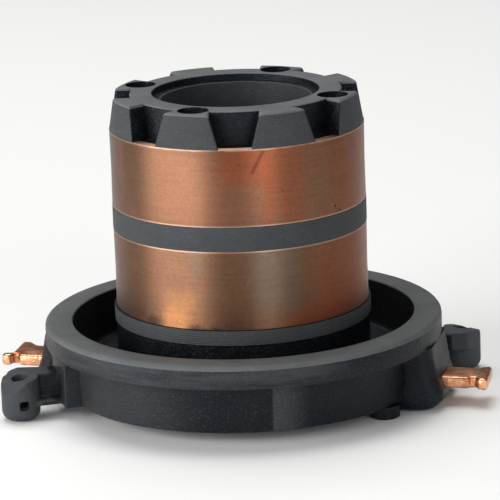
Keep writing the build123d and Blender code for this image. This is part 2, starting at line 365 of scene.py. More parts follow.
def to_mesh(name, shells):
    """One mesh from a list of (points, faces) shells, joined and tidied. Millimetres become
    metres."""
    starts = np.cumsum([0] + [len(points) for points, _ in shells])
    points = np.concatenate([points for points, _ in shells]) / MM
    faces = [[v + start for v in face] for start, (_, fs) in zip(starts, shells) for face in fs]
    mesh = bpy.data.meshes.new(name)
    mesh.from_pydata(points, [], faces)
    piece = bpy.data.objects.new(name, mesh)
    bpy.context.scene.collection.objects.link(piece)
    tidy(piece)
    return piece


def tidy(piece, smooth_above=35.0):
    """Merges doubles, points the faces outwards and shades the mesh smooth up to an angle."""
    work = bmesh.new()
    work.from_mesh(piece.data)
    bmesh.ops.remove_doubles(work, verts=work.verts, dist=2e-6)
    bmesh.ops.dissolve_degenerate(work, edges=work.edges, dist=1e-7)
    bmesh.ops.recalc_face_normals(work, faces=work.faces)
    work.to_mesh(piece.data)
    work.free()
    piece.data.shade_smooth()
    piece.data.set_sharp_from_angle(angle=math.radians(smooth_above))


def settle(piece):
    """Applies the piece's modifiers, so that the finished surface is its own mesh."""
    evaluated = piece.evaluated_get(bpy.context.evaluated_depsgraph_get())
    finished = bpy.data.meshes.new_from_object(evaluated)
    piece.modifiers.clear()
    piece.data = finished
    return piece


def cut(piece, cutter):
    """Takes the cutter's space out of the piece and removes the cutter."""
    carve = piece.modifiers.new("cut", "BOOLEAN")
    carve.operation = "DIFFERENCE"
    carve.solver = "EXACT"
    carve.object = cutter
    settle(piece)
    bpy.data.objects.remove(cutter)
    return piece


def dress(piece, material, slot, *nodes):
    """Puts the finished piece on the part: its material and body, and what it stands for. The slot
    is not used.
    """
    piece.data.materials.clear()
    piece.data.materials.append(material)
    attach(piece, ROOT)
    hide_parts(*nodes)
    return piece


# Materials


def feed(tree, target, inputs):
    """Sets or links a node's inputs, given in their order or by name or number. A value is a number
    or colour, or (node, output) for a link."""
    for key, value in inputs.items() if isinstance(inputs, dict) else enumerate(inputs):
        if isinstance(value, tuple) and hasattr(value[0], "outputs"):
            tree.links.new(value[0].outputs[value[1]], target.inputs[key])
        else:
            target.inputs[key].default_value = value


def node(tree, kind, inputs=(), out=0, **settings):
    """Adds a shader node with its settings and inputs, and returns (node, output)."""
    made = tree.nodes.new("ShaderNode" + kind)
    for key, value in settings.items():
        setattr(made, key, value)
    feed(tree, made, inputs)
    return made, out


def colour4(value):
    """A colour setting with its alpha."""
    return (value[0], value[1], value[2], 1.0)


def blank(name, metallic):
    """A new material with its shader."""
    material = bpy.data.materials.new(name)
    material.use_nodes = True
    tree = material.node_tree
    shader = tree.nodes["Principled BSDF"]
    feed(tree, shader, {"Metallic": metallic})
    return material, tree, shader


def polar(tree):
    """Place on the part: its coordinates, (x, y, z), and radius and angle about the bore."""
    place = node(tree, "TexCoord", out="Object")
    split = node(tree, "SeparateXYZ", (place,))[0]
    x, y, z = ((split, n) for n in range(3))
    flat = node(tree, "CombineXYZ", (x, y))
    radius = node(tree, "VectorMath", (flat,), out="Value", operation="LENGTH")
    return place, (x, y, z), radius, node(tree, "Math", (y, x), operation="ARCTAN2")


def combined(tree, operation, *values, **settings):
    """Values taken together one after the other, such as their product or the largest of them."""
    total = values[0]
    for value in values[1:]:
        total = node(tree, "Math", (total, value), operation=operation, **settings)
    return total


def weighted(tree, base, *terms, **settings):
    """Base plus each (value, weight) term's product."""
    for value, weight in terms:
        base = node(tree, "Math", (value, weight, base), operation="MULTIPLY_ADD", **settings)
    return base


def coated(tree, colour, *coats, blend="MIX"):
    """Colour under coats laid on in turn, each (share, colour)."""
    for share, coat in coats:
        inputs = {0: share, 6: colour, 7: coat}
        colour = node(tree, "Mix", inputs, out=2, data_type="RGBA", blend_type=blend)
    return colour


def zone(tree, *ranges):
    """Share of 1 where every (value, low, high) lies in its range, and 0 elsewhere."""
    tests = []
    for value, low, high in ranges:
        tests.append(node(tree, "Math", (value, low), operation="GREATER_THAN"))
        tests.append(node(tree, "Math", (value, high), operation="LESS_THAN"))
    return combined(tree, "MULTIPLY", *tests)


def between(tree, value, low, high, soft):
    """Share of 1 where the value lies between low and high, falling to 0 over soft at both ends."""
    ends = [
        node(tree, "MapRange", (value, end - soft, end + soft, before, 1.0 - before),
             interpolation_type="SMOOTHSTEP")
        for end, before in ((low, 0.0), (high, 1.0))
    ]
    return combined(tree, "MULTIPLY", *ends)


def phenolic(settings):
    """Black phenolic: the moulded skin is near black, faintly blue and half glossy, and the lands
    that were turned or rubbed are a dry grey with fine tool lines and pores.
    The same grey is painted on the rim's lit side, the lugs and the outer wall as painted light."""
    material, tree, shader = blank("phenolic_moulding", 0.0)
    place, (x, y, z), radius, angle = polar(tree)
    degrees = combined(tree, "MULTIPLY", angle, 180 / math.pi)
    # Grit of the filler, 0.25 mm, slow mottling of the skin, 4 mm, and wear patches, 9 mm
    grit, mottle, patch = (
        node(tree, "TexNoise", {"Vector": place, "Scale": MM / feature, "Detail": detail,
                                "Roughness": 0.55})
        for feature, detail in ((0.25, 2.0), (4.0, 4.0), (9.0, 3.0))
    )
    normal = node(tree, "SeparateXYZ", (node(tree, "NewGeometry", out="True Normal"),))[0]
    up = ((normal, 2), 0.15, FAR)
    faces_up = zone(tree, up)
    # Limits in metres: the rim's band lies between band_low and band_high
    band_low = (settings.rim_top - settings.rim_thickness + 0.1) / MM
    band_high = (settings.rim_top + 0.1) / MM
    land_low = (RING_R + settings.land - settings.taper * 0.5 - 0.4) / MM
    # Turned lands, outside on the crown, band and collar: they face along (x, y) / radius
    outward = weighted(tree, 0.0, (x, (normal, 0)), (y, (normal, 1)))
    outward = node(tree, "Math", (outward, radius), operation="DIVIDE")
    land = zone(tree, (radius, land_low, (RING_R + 0.6) / MM), (outward, 0.8, FAR),
                (z, band_high, FAR))
    # Tops that were faced off: the crown's and the rim's, and the bore, which was reamed
    crown_face = zone(tree, up, (z, (CROWN_TOP - 0.35) / MM, FAR))
    rim_face = zone(tree, up, (z, (settings.rim_top - 0.65) / MM, FAR),
                    (radius, (settings.trench_foot_r - 0.7) / MM, FAR))
    bore = zone(tree, (radius, -FAR, (settings.bore_r + 0.3) / MM))
    # The rim's band was skimmed, and its skin is left there in streaks; the grey is laid only on
    # the side that the key light falls on, as painted light
    lit_side = node(tree, "Math", (weighted(tree, math.radians(139), (angle, 1.0)),),
                       operation="COSINE")
    drawn_out = node(tree, "Mapping", {"Vector": place, "Scale": (1 / 12, 1 / 12, 1.0)})
    skimmed = node(tree, "TexNoise", {"Vector": drawn_out, "Scale": MM / 1.4, "Detail": 3.0,
                                      "Roughness": 0.6})
    rim_side = combined(
        tree,
        "MULTIPLY",
        zone(tree, (radius, (RIM_R - 0.1) / MM, FAR)),
        between(tree, z, band_low, band_high, 0.2 / MM),
        between(tree, lit_side, 0.0, 2.0, 0.2),
        node(tree, "MapRange", (skimmed, 0.36, 0.60, 0.05, 0.62)),
    )
    # The lugs' bosses and tops are painted grey, the one at +X more, as painted light that they
    # catch. They lie along the peaks of cos 2(angle - lug angle)
    lug = bpy.context.scene.slipring_lug
    lobes = weighted(tree, -2 * math.radians(lug.angle), (angle, 2.0))
    lobes = node(tree, "Math", (lobes,), operation="COSINE")
    boss = zone(tree, (radius, (lug.hole_circle_r - lug.boss_r + 0.1) / MM, FAR))
    lugs = combined(
        tree,
        "MULTIPLY",
        zone(tree, (lobes, 0.86, FAR), (radius, (RIM_R + 0.3) / MM, FAR)),
        combined(tree, "MAXIMUM", faces_up, boss),
        weighted(tree, 0.80, (zone(tree, (x, 0.0, FAR)), 0.22)),
    )
    # The outer wall is painted grey on the side of the left lug, more faintly: a painted highlight
    # of the key light
    outer_wall = zone(tree, (radius, (settings.wall_foot_r - 0.4) / MM, FAR), (z, -FAR, band_low))
    wall = combined(tree, "MULTIPLY", outer_wall, between(tree, degrees, -150, -98, 14), 0.36)
    # A painted highlight on the outer wall, with a sharp edge on its left, broken up by the grit
    wall_highlight = combined(tree, "MULTIPLY", between(tree, degrees, -67.5, -40, 0.5),
                     between(tree, degrees, -80, -60, 6), outer_wall, 0.80,
                     weighted(tree, 0.35, (grit, 1.0)))
    # Share of grey: turned lands, faced tops and the reamed bore, and painted light on the rim's
    # side, the lugs and the wall
    turned_and_lit_share = combined(
        tree,
        "MAXIMUM",
        crown_face,
        combined(tree, "MULTIPLY", land, 0.86),
        combined(tree, "MULTIPLY", rim_face, 0.80),
        combined(tree, "MULTIPLY", bore, 0.68),
        rim_side,
        lugs,
        wall,
        wall_highlight,
    )
    fade = node(tree, "MapRange", (mottle, 0.3, 0.7, 0.82, 1.0))
    turned_and_lit_share = combined(tree, "MULTIPLY", turned_and_lit_share, fade, use_clamp=True)
    dusty = node(tree, "MapRange", (mottle, 0.50, 0.78))
    share = weighted(tree, turned_and_lit_share, (dusty, 0.05), use_clamp=True)
    tops = combined(tree, "MAXIMUM", crown_face, rim_face)
    worn = coated(tree, colour4(settings.rubbed), (tops, colour4(settings.faced)))
    specks = node(tree, "MapRange", (grit, 0.55, 0.74, 0.0, 0.10))
    base = coated(tree, colour4(settings.black), (share, worn), (specks, colour4(settings.dust)))
    gloss = weighted(tree, 0.24, (mottle, 0.14), (patch, 0.12), (turned_and_lit_share, 0.28),
                     use_clamp=True)
    # Tool lines on the lands, 0.3 mm apart, over the pores and the skin's slow waviness
    wave = combined(tree, "MULTIPLY", z, 2 * math.pi * MM / 0.3)
    lines = combined(tree, "MULTIPLY", node(tree, "Math", (wave,), operation="SINE"), land, 0.12)
    relief = weighted(tree, lines, (grit, 0.8), (mottle, 2.0))
    bump = node(tree, "Bump", {"Height": relief, "Strength": 0.9, "Distance": 0.14 / MM})
    feed(tree, shader, {"Base Color": base, "Roughness": gloss, "Normal": bump,
                        "Specular IOR Level": 0.22, "Specular Tint": (0.74, 0.86, 1.0, 1.0)})
    return material


def worn_copper(settings):
    """Turned electrolytic copper, run under carbon brushes: a satin film over fine tool lines, that
    goes from salmon through brown to olive round the ring, with red oxide along the tracks' edges,
    a burnished spot at the lower track's foot, stains beside it and a scratch at the crown. Salmon
    patches where the key light's highlight lies are partly painted highlight, and a brown patch
    where the lower track faces the camera is painted shade."""
    material, tree, shader = blank("turned_copper_track", 1.0)
    place, (_, _, z), _, angle = polar(tree)
    z_mm = combined(tree, "MULTIPLY", z, MM)
    degrees = combined(tree, "MULTIPLY", angle, 180 / math.pi)
    drawn_out = node(tree, "Mapping", {"Vector": place, "Scale": (1 / 20, 1 / 20, 1.0)})
    column = node(tree, "Mapping", {"Vector": place, "Scale": (1.0, 1.0, 0.30)})
    # Coordinates, size of a feature in millimetres, detail and roughness of each noise
    streak, cloud, fray, pits, grain = (
        node(tree, "TexNoise", {"Vector": vector, "Scale": MM / feature, "Detail": detail,
                                "Roughness": rough})
        for vector, feature, detail, rough in (
            (drawn_out, 0.4, 3.0, 0.6),  # streaks along the track, drawn out 20 times
            (column, 6.0, 3.0, 0.5),  # the film's slow change round the ring
            (place, 1.6, 4.0, 0.6),  # a finer cloud, that frays the film's edges
            (place, 1.1, 1.0, 0.4),  # pits of 0.3 mm, far apart
            (place, 0.35, 3.0, 0.6),  # grain
        )
    )
    film = node(tree, "ValToRGB", (cloud,))
    marks = film[0].color_ramp.elements
    shades = ((0.30, settings.olive), (0.46, settings.brown), (0.60, settings.brown),
              (0.74, settings.salmon))
    for n, (share, shade) in enumerate(shades):
        mark = marks[n] if n < 2 else marks.new(share)
        mark.position, mark.color = share, colour4(shade)
    # Frayed place: degrees and millimetres shifted by the cloud, so that patches have worn edges
    turned_by = weighted(tree, -5.0, (degrees, 1.0), (fray, 10.0))
    lifted_by = weighted(tree, -1.2, (z_mm, 1.0), (fray, 2.4))
    up_low, up_high, low_low, low_high = UPPER_LOW, UPPER_HIGH, LOWER_LOW, LOWER_HIGH
    coats = []
    # Tint, strength, two angles and their softness, two heights and their softness
    for name, strength, angles, heights in (
        # Salmon on both tracks where the key light's highlight lies, thin film and painted
        # highlight together; the third patch is a painted highlight alone, which widens it on the
        # upper track
        ("salmon", 0.48, (-118, -82, 9), (up_low, up_high, 3)),
        ("salmon", 0.22, (-118, -92, 10), (low_low, low_high, 3)),
        ("salmon", 0.60, (-104, -66, 7), (up_low, up_high - 2, 2)),
        # Red oxide under the crown, which reaches down the upper track on the right
        ("red", 0.85, (-84, -60, 5), (up_high - 4.5, up_high + 3, 1.6)),
        ("red", 0.55, (-66, -46, 4), (up_low - 2, up_high + 2, 2)),
        ("red", 0.45, (-30, 20, 8), (up_low - 2, up_high + 2, 2)),
        ("salmon", 0.40, (-48, -28, 7), (up_low - 2, up_high + 2, 2)),
        # Red oxide along the lower track's foot, and up its right side
        ("red", 0.75, (-64, -22, 6), (low_low - 2, low_low + 2.6, 1.6)),
        ("red", 0.50, (-40, 20, 8), (low_low - 2, low_high + 2, 2)),
        # A brown patch darkens the lower track where it faces the camera: painted shade for the
        # dark reflection there
        ("brown", 0.90, (-92, -56, 6), (low_low - 2, low_high, 2)),
        ("olive", 0.75, (-72, -50, 5), (low_low + 2, low_high + 3, 2)),
        # The same oxide on the side away from the leads
        ("red", 0.45, (60, 130, 14), (low_low - 2, up_high + 2, 2)),
        # The burnished spot, its tail, and stains beside it
        ("burnish", 0.45, (-112, -97, 5), (low_low + 1, low_low + 4.5, 2.0)),
        ("burnish", 0.9, (-113, -101, 3), (low_low - 1, low_low + 2.4, 1.0)),
        ("dark", 0.55, (-123, -116, 1.5), (low_low - 1, low_low + 1.0, 0.4)),
        ("dark", 0.85, (-101, -84, 3), (low_low - 2, low_low + 0.25, 0.45)),
    ):
        here = combined(tree, "MULTIPLY", between(tree, turned_by, *angles),
                        between(tree, lifted_by, *heights), strength)
        coats.append((here, colour4(getattr(settings, name))))
    # Scratch below the crown: a thin slanted line, along which angle and height change together
    slant = weighted(tree, degrees, (z_mm, -1.9))
    scratch = combined(tree, "MULTIPLY", between(tree, slant, -133.9, -132.3, 0.8),
                       between(tree, z_mm, up_high - 3.2, up_high, 0.3), 0.5)
    # Pits, and two deeper ones near the upper track's foot, at an angle and a height
    pitted = [node(tree, "MapRange", (pits, 0.785, 0.80, 0.0, 0.3))]
    for spot_angle, spot_z in ((-28.2, up_low + 1.1), (-25.2, up_low + 0.5)):
        across = between(tree, degrees, spot_angle - 0.6, spot_angle + 0.6, 0.4)
        upright = between(tree, z_mm, spot_z - 0.16, spot_z + 0.16, 0.12)
        pitted.append(combined(tree, "MULTIPLY", across, upright, 0.8))
    dark = colour4(settings.dark)
    coats += [(scratch, dark), (combined(tree, "MAXIMUM", *pitted), dark)]
    light = node(tree, "MapRange", (streak, 0.3, 0.7, 0.84, 1.0))
    speckle = node(tree, "MapRange", (grain, 0.35, 0.62, 0.86, 1.0))
    colour = coated(tree, film, *coats)
    colour = coated(tree, colour, (1.0, light), (1.0, speckle), blend="MULTIPLY")
    # Pale line where the tool left fresh copper at each track's edge, and frayed under the crown
    frayed_z = weighted(tree, -0.25, (z_mm, 1.0), (fray, 0.5))
    edges = combined(tree, "ADD", between(tree, z_mm, up_low - 1, up_low + 0.20, 0.08),
                     between(tree, z_mm, low_high - 0.20, low_high + 1, 0.08),
                     between(tree, frayed_z, up_high - 0.20, up_high + 3, 0.1))
    edges = combined(tree, "MULTIPLY", edges, 0.7)
    colour = coated(tree, colour, (edges, colour4(settings.burr)))
    gloss = weighted(tree, 0.34, (streak, 0.12), (fray, 0.14))
    wave = combined(tree, "MULTIPLY", z, 2 * math.pi * MM / settings.tool_pitch)
    relief = weighted(tree, streak, (node(tree, "Math", (wave,), operation="SINE"), 0.18))
    bump = node(tree, "Bump", {"Height": relief, "Strength": 0.22, "Distance": 0.04 / MM})
    # Gloss is drawn out across the tool lines: the tangent runs round the ring, z cross normal,
    # and the highlight is turned a quarter from it
    facing = node(tree, "NewGeometry", out="Normal")
    tangent = node(tree, "VectorMath", ((0.0, 0.0, 1.0), facing), operation="CROSS_PRODUCT")
    feed(tree, shader, {"Base Color": colour, "Roughness": gloss, "Normal": bump,
                        "Tangent": tangent, "Anisotropic": 0.8, "Anisotropic Rotation": 0.25})
    return material


def bright_copper(settings):
    """Rolled copper strip, sheared and bent: clean and bright, tarnished in clouds."""
    material, tree, shader = blank("rolled_copper_strip", 1.0)
    place = node(tree, "TexCoord", out="Object")
    # Clouds of tarnish, 2.2 mm, and the rolls' fine scratches, 0.3 mm
    cloud, scratch = (
        node(tree, "TexNoise", {"Vector": place, "Scale": MM / feature, "Detail": detail,
                                "Roughness": rough})
        for feature, detail, rough in ((2.2, 4.0, 0.6), (0.3, 2.0, 0.55))
    )
    share = node(tree, "MapRange", (cloud, 0.42, 0.66))
    colour = coated(tree, colour4(settings.bright), (share, colour4(settings.tarnish)))
    gloss = weighted(tree, 0.24, (scratch, 0.2))
    relief = weighted(tree, scratch, (cloud, 2.0))
    bump = node(tree, "Bump", {"Height": relief, "Strength": 0.4, "Distance": 0.15 / MM})
    feed(tree, shader, {"Base Color": colour, "Roughness": gloss, "Normal": bump})
    return material


def paper(settings):
    """Seamless background paper: pale, matt and even."""
    material, tree, shader = blank("background_paper", 0.0)
    feed(tree, shader, {"Base Color": colour4(settings.paper), "Roughness": 0.9})
    return material


def shared(name, make, *arguments):
    """The material of that name, made the first time that it is asked for."""
    return bpy.data.materials.get(name) or make(*arguments)


# Pieces


def hub_sections(s):
    """Two closed outlines of (radius, height) with the same number of points, one through a tooth
    and one through a notch, and the slice of their points that make the crown. They differ only
    there, where the notch runs in along its floor and up its inner wall instead of up the tooth
    and in over its top. Each corner is its radius, its height and its rounding."""
    land_r = RING_R + s.land
    groove_r = RING_R - bpy.context.scene.slipring_rings.wall
    rim_under = s.rim_top - s.rim_thickness
    below = [
        (s.bore_r, CROWN_TOP - s.mouth_depth, 0.1),
        (s.bore_r, 0.0, 0.45),
        (s.seat_r, 0.0, 0.3),
        (s.seat_r, s.floor_under, 0.3),
        (s.wall_foot_r, s.floor_under, 0.35),
        (s.wall_top_r, rim_under, 0.5),
        (RIM_R, rim_under, 0.25),
        (RIM_R, s.rim_top, 0.6),
        (s.rim_inner_r, s.rim_top, 0.22),
        (s.trench_foot_r, s.floor_top, 0.8),
        (s.hub_r, s.floor_top, 0.8),
        (s.hub_r, s.rim_top, 0.05),
        (s.collar_r, s.rim_top, 0.05),
        (s.collar_r, LOWER_LOW, 0.12),
        (groove_r, LOWER_LOW, 0.0),
        (groove_r, LOWER_HIGH, 0.0),
        (land_r, LOWER_HIGH, 0.02),
        (land_r, UPPER_LOW, 0.02),
        (groove_r, UPPER_LOW, 0.0),
        (groove_r, UPPER_HIGH, 0.0),
    ]
    above = [(s.mouth_r, CROWN_TOP, 0.12), (s.mouth_r, CROWN_TOP - s.mouth_depth, 0.1)]
    tooth_top_r = land_r - s.taper
    tooth = [
        (land_r, UPPER_HIGH, 0.0),
        (tooth_top_r, CROWN_TOP, 0.3),
        (s.notch_inner_r, CROWN_TOP, 0.0),
    ]
    # The notch starts a little inside the groove, because two equal corners have no arc
    notch = [
        (groove_r - 0.05, UPPER_HIGH, 0.0),
        (s.notch_inner_r, UPPER_HIGH, 0.25),
        (s.notch_inner_r, CROWN_TOP, 0.15),
    ]
    outlines = [rounded(below + crown + above) for crown in (tooth, notch)]
    first = ARC * len(below)
    return *outlines, slice(first, first + ARC * len(tooth))


def hub_surface(s):
    """The turned moulding with its crown, as one closed grid.

    A notch's side walls lie at w(z) either side of its middle plane, so a point at radius r on them
    is at asin(w/r) from the middle. Columns run across the notch on the notch outline, then across
    the tooth on the tooth outline; near each wall the tooth's columns sink inwards along a quarter
    circle, which rounds the tooth's sides.
    """
    tooth, notch, crown = hub_sections(s)
    near, sink = quarter(s.tooth_round, 4)
    inner = np.linspace(0, 1, 16)[1:-1]
    across = np.concatenate([np.zeros_like(near), inner, np.ones_like(near)])
    shift = np.concatenate([near, s.tooth_round * (1 - 2 * inner), -near[::-1]])
    drop = np.concatenate([sink, np.zeros_like(inner), sink[::-1]])

    def wall_angle(outline):
        """Half of a notch's angle at each point of an outline."""
        rise = np.clip((outline[:, 1] - UPPER_HIGH) / (CROWN_TOP - UPPER_HIGH), 0, 1)
        width = 0.5 * (s.notch_foot + (s.notch_top - s.notch_foot) * rise)
        return np.arcsin(width / np.maximum(outline[:, 0], s.notch_inner_r))

    pitch = 2 * np.pi / s.teeth
    tooth_wall, notch_wall = wall_angle(tooth), wall_angle(notch)
    notch_angle = np.linspace(-1, 1, 10)[:, None] * notch_wall[None, :]
    radius = np.maximum(tooth[:, 0], s.notch_inner_r)
    span = pitch - 2 * tooth_wall
    tooth_angle = tooth_wall[None, :] + span[None, :] * across[:, None]
    tooth_angle = tooth_angle + shift[:, None] / radius[None, :]
    inwards = normals(np.roll(tooth, -1, 0) - np.roll(tooth, 1, 0))
    # The teeth's sides sink on the crown alone, but for its first and last corner
    active = np.zeros(len(tooth))
    active[crown.start + ARC : crown.stop - ARC] = 1.0
    pulled = tooth[None] + inwards[None] * (drop[:, None] * active[None, :])[..., None]
    notch_rz = np.broadcast_to(notch[None], (len(notch_angle), len(notch), 2))
    rz = np.concatenate([notch_rz, pulled])
    angle = np.concatenate([notch_angle, tooth_angle])
    first = math.radians(s.crown_turn) + pitch / 2
    turns = first + pitch * np.arange(s.teeth)
    angle = (turns[:, None, None] + angle[None]).reshape(-1, len(tooth))
    rz = np.broadcast_to(rz[None], (s.teeth, *rz.shape)).reshape(-1, len(tooth), 2)
    xyz = [rz[..., 0] * np.cos(angle), rz[..., 0] * np.sin(angle), rz[..., 1]]
    return np.stack(xyz, -1)


def cylinder(radius, low, high, centre, columns=48):
    """Closed upright cylinder."""
    angle = np.linspace(0, 2 * np.pi, columns, endpoint=False)
    x = centre[0] + radius * np.cos(angle)
    y = centre[1] + radius * np.sin(angle)
    return np.stack([np.column_stack([x, y, np.full(columns, z)]) for z in (low, high)])


def block_surface(s, under):
    """Terminal block with the rest that carries the terminal, as one form.

    Its plan is a rectangle whose outer corners are arcs. Its inner end lies under the floor, then
    steps out into the trench's outer wall. Its reach R(z) runs straight between the heights of the
    profile: a slanted foot, the rest, and a draft up to the rim. Near its underside the plan is
    inset along a quarter circle, which rounds that edge.
    """
    lap = 0.3  # how far the block runs up into the rim's lip
    top = s.rim_top - s.rim_thickness + lap
    rest_r = RIM_R + s.rest_reach
    profile = np.array([
        (s.block_lift, rest_r - s.rest_slant),
        (s.block_lift + s.rest_slant, rest_r),
        (under, rest_r),
        (under + s.rest_draft, RIM_R + 2 * s.block_proud),
        (top, RIM_R),
    ])
    rise, depth = quarter(s.block_round, 6)
    side = np.linspace(s.block_lift + rise[-1], top, 25)[1:]
    heights = np.concatenate([s.block_lift + rise, side])
    depths = np.concatenate([depth, np.zeros_like(side)])
    reach = np.interp(heights, profile[:, 0], profile[:, 1])
    half, middle = s.block_half, (s.floor_under + s.floor_top) / 2
    rings = []
    for z, out, sink in zip(heights, reach, depths):
        inner = s.block_inner_r if z < middle else s.rim_inner_r - s.block_sunk
        plan = rounded([(inner, -half, 0.5), (out, -half, s.block_corner_r),
                        (out, half, s.block_corner_r), (inner, half, 0.5)], 9)
        rings.append(np.column_stack([inset(plan, sink), np.full(len(plan), z)]))
    return np.stack(rings)


def foot_surface(s):
    """Foot: a round stud with a rounded end, turned about its own middle."""
    top = s.floor_under + 0.1  # a little way up into the floor
    outline = rounded([(0, 0, 0), (s.foot_r, 0, 0.35), (s.foot_r, top, 0), (0, top, 0)])
    centre = np.array([s.foot_circle_r, 0.0, 0.0])
    return spun(turned(outline, 48) + centre, s.foot_angle)


def rectangle(x0, x1, y0, y1, r=0.15):
    """Closed rectangle with rounded corners, anticlockwise."""
    return rounded([(x0, y0, r), (x1, y0, r), (x1, y1, r), (x0, y1, r)])


def lug_shells(s, m):
    """Plates and boss of a guide lug along X: wing, web, sill, root block and boss."""
    middle = (m.rim_inner_r + m.wall_foot_r) / 2
    rim_under = m.rim_top - m.rim_thickness
    tip_r = s.hole_circle_r + s.tip_reach
    wing = rounded([
        (middle, s.web_side, 0),
        (middle, -s.wing_root, 0),
        (s.root_r, -s.wing_root, 0.3),
        (s.hole_circle_r - s.shoulder_inset, -s.shoulder_side, 0.6),
        (tip_r, -s.tip_side, 0.8),
        (tip_r, s.web_side, 0),
    ])
    reach = s.hole_circle_r - 0.6 * s.boss_r  # the arm ends inside the boss
    lap = 0.1  # how far one shell runs into the next
    web = rectangle(middle, reach, s.web_side - s.web, s.web_side)
    sill = rectangle(middle, reach, s.web_side - s.web, s.sill_side)
    root = rectangle(middle, s.root_r, -s.root_half, s.root_half, 0.25)
    boss = rounded([(0, 0, 0), (s.boss_r, 0, s.foot_round), (s.boss_r, s.height, 0.3),
                    (0, s.height, 0)], 8)
    boss_grid = turned(boss, 64) + np.array([s.hole_circle_r, 0.0, 0.0])
    return [
        capped(slab(wing, s.height - s.wing, s.height, rounding=0.25)),
        capped(slab(web, s.base + lap, s.height - lap, rounding=0.1)),
        capped(slab(sill, s.base, s.base + s.sill, rounding=0.15)),
        capped(slab(root, m.floor_under, rim_under + lap, rounding=0.2)),
        tube(boss_grid),
    ]


def slope_cutter(s):
    """Wedge above the boss's slanted top: its underside falls gently from a line behind the guide
    hole, then steeply from one through its front half; it is turned about the hole's middle."""
    run, wide, over = 6.0, 6.0, 2.0  # past the boss outwards, to both sides and above
    eased = s.height - s.easing * (s.easing_start + s.slope_start)
    side = np.array([
        (-s.easing_start, s.height),
        (s.slope_start, eased),
        (run, eased - s.slope * (run - s.slope_start)),
        (run, s.height + over),
        (-s.easing_start, s.height + over),
    ])
    across = np.linspace(-wide, wide, 2)[:, None]
    shape = (2, len(side))
    x, z = np.broadcast_to(side[:, 0], shape), np.broadcast_to(side[:, 1], shape)
    wedge = np.stack([x, np.broadcast_to(across, shape), z], -1)
    return spun(wedge, s.slope_turn) + np.array([s.hole_circle_r, 0.0, 0.0])


def strip_outline(s):
    """Cross section of the lead strip: a rectangle with worn edges."""
    t, w = s.thickness / 2, s.width / 2
    return rectangle(-t, t, -w, w, s.rounding)


def strip_path(s, ring_low, ring_high, under):
    """Middle line of a lead in the (radius, height) plane: pad behind the ring, jog, leg, foot."""
    pad_r = RING_R - bpy.context.scene.slipring_rings.wall + s.bite - s.thickness / 2
    pad_foot = (ring_low + ring_high - s.pad) / 2
    leg_r = pad_r - s.jog
    z = under + s.thickness / 2
    corners = [
        (RIM_R, z, 0),
        (leg_r, z, s.bend_r),
        (leg_r, pad_foot - s.jog, s.bend_r),
        (pad_r, pad_foot, s.bend_r),
        (pad_r, pad_foot + s.pad, 0),
    ]
    # Both ends are sharp corners, whose seven equal points are cut down to one
    return rounded(corners, 7)[6:-6]


def carried(outline, path):
    """The outline carried along a path in the (radius, height) plane: its first coordinate lies
    along the path's normal and its second along Y."""
    normal = normals(np.gradient(path, axis=0))
    rz = path[:, None, :] + normal[:, None, :] * outline[None, :, :1]
    y = np.broadcast_to(outline[None, :, 1], rz.shape[:2])
    return np.stack([rz[..., 0], y, rz[..., 1]], -1)


def waisted_tip(s):
    """Plan of the upper ring's terminal, measured back from its end: a skewed head, a waist and a
    bar. The far side's points lie nearer to the rim by the head's skew. Each point of a side is
    its place before the end, its place across and its rounding."""
    h, skew, end, start = s.width / 2, s.head_skew, UPPER_TIP_R, RIM_R - 1.5
    side = [(0.0, h + 0.55, 0.45), (-1.25, h + 0.4, 0.45), (-1.65, h - 0.45, 0.3),
            (-2.3, h - 0.45, 0.3), (-2.6, h, 0.45)]
    corners = [(end - skew + x, y, r) for x, y, r in side]
    corners += [(start, h, 0.0), (start, -h, 0.0)]
    corners += [(end + x, -y, r) for x, y, r in side[::-1]]
    return rounded(corners)


def eared_tip(s):
    """Plan of the lower ring's terminal, measured back from its end: a knob, a notch on one side,
    an ear on the other and a bar."""
    h, end, start = s.width / 2, LOWER_TIP_R, RIM_R - 1.5
    corners = [
        (start, -h, 0.0),
        (end - 3.6, -h, 0.8),
        (end - 2.2, -h - 1.6, 0.6),
        (end - 1.0, -h - 1.6, 0.5),
        (end - 1.2, 1.2, 0.3),
        (end, 1.35, 0.5),
        (end, h + 0.1, 0.55),
        (end - 1.3, h + 0.1, 0.45),
        (end - 1.5, h - 0.9, 0.25),
        (end - 2.2, h - 0.9, 0.25),
        (end - 2.5, h, 0.5),
        (start, h, 0.0),
    ]
    return rounded(corners)


class SlipringHub(bpy.types.Operator):
    """Build the hub, crown and dish flange of the moulding"""

    bl_idname = "slipring.hub"
    bl_label = "Hub and flange"

    def execute(self, context):
        s = context.scene.slipring_moulding
        hub = to_mesh("hub_and_flange", [tube(hub_surface(s))])
        start = s.crown_turn - 360 / s.teeth
        # A pin hole stops just above the ring, and its cutter stands out at the top
        low, high = UPPER_HIGH + 0.02, CROWN_TOP + 0.2
        for n in range(s.pin_holes):
            centre = spun(np.array([[s.pin_circle_r, 0.0, 0.0]]), start + n * 360 / s.pin_holes)[0]
            shell = capped(cylinder(s.pin_hole_r, low, high, centre))
            cut(hub, to_mesh("pin_hole_cutter", [shell]))
        tidy(hub, 32.0)
        dress(hub, shared("phenolic_moulding", phenolic, s), "moulding", "moulded_body")
        return {"FINISHED"}


class SlipringBlocks(bpy.types.Operator):
    """Build the terminal blocks and feet of the moulding"""

    bl_idname = "slipring.blocks"
    bl_label = "Blocks and feet"

    def execute(self, context):
        s = context.scene.slipring_moulding
        shells = []
        leads = context.scene.slipring_leads
        for half_turn, under in ((0, leads.under), (180, leads.under + leads.lift)):
            shells.append(capped(spun(block_surface(s, under), half_turn)))
            shells.append(tube(spun(foot_surface(s), half_turn)))
        blocks = to_mesh("terminal_blocks_and_feet", shells)
        dress(blocks, shared("phenolic_moulding", phenolic, s), "moulding", "moulded_body")
        return {"FINISHED"}


